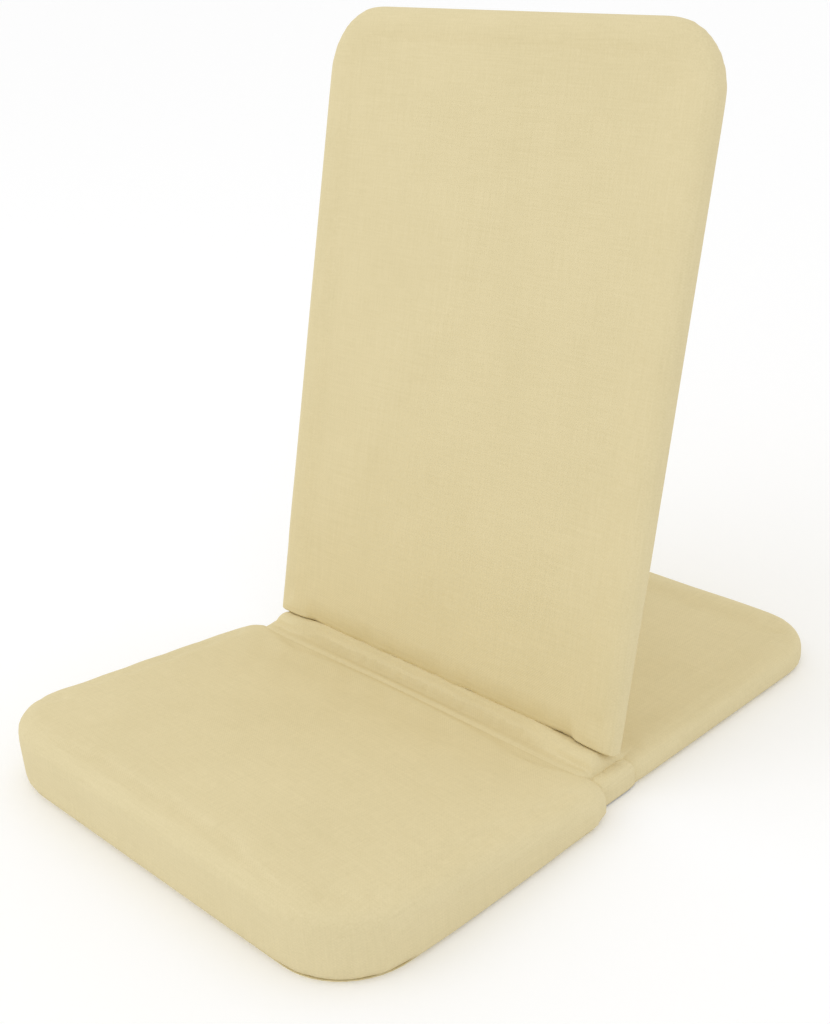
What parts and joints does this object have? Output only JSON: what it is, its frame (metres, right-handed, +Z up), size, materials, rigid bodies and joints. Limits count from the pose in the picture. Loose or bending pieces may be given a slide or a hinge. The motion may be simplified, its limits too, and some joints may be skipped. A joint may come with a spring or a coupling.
{
  "type": "folding floor chair",
  "caption": "Floor chair with a padded wedge seat, a tall padded back that folds forward onto it, and a thin rear floor panel, all in plain cotton canvas.",
  "frame": {"origin": "centre of the footprint, on the floor", "axes": "+X to the chair's right seen from the front, +Y from the front of the seat to the rear of the floor panel, +Z up"},
  "size_m": [0.553, 0.743, 0.7025],
  "materials": {
    "canvas": "matte",
    "foam": "matte",
    "frame_steel": "satin",
    "plated_steel": "satin",
    "nylon": "matte",
    "black_plastic": "matte",
    "tape": "matte"
  },
  "bodies": {
    "base": {"seat_frame_tube": "frame_steel", "tail_frame_tube": "frame_steel", "frame_splices": "plated_steel", "floor_plate_left": "plated_steel", "floor_plate_right": "plated_steel", "frame_rivets": "plated_steel", "stop_pins": "plated_steel", "hinge_pins": "plated_steel", "hinge_washers": "nylon", "seat_foam": "foam", "seat_top_panel": "canvas", "seat_side_band": "canvas", "tail_pad": "foam", "tail_cover": "canvas", "base_bottom_cover": "canvas", "joint_flap": "canvas", "flap_hook_tape": "tape", "flap_loop_tape": "tape", "hinge_sleeve_left": "canvas", "hinge_sleeve_right": "canvas"},
    "backrest": {"back_frame_tube": "frame_steel", "back_crossbar": "frame_steel", "back_tube_plugs": "black_plastic", "back_plate_left": "plated_steel", "back_plate_right": "plated_steel", "back_plate_rivets": "plated_steel", "hinge_bushes": "nylon", "back_pad": "foam", "back_front_cover": "canvas", "back_rear_cover": "canvas", "back_hem_flap": "canvas", "back_hook_tape": "tape", "back_loop_tape": "tape"}
  },
  "joints": [
    {"name": "back_fold", "type": "hinge", "parent": "base", "child": "backrest", "pos_m": [0, -0.0035, 0.034], "axis": [1, 0, 0], "range_deg": [0, 96]}
  ]
}
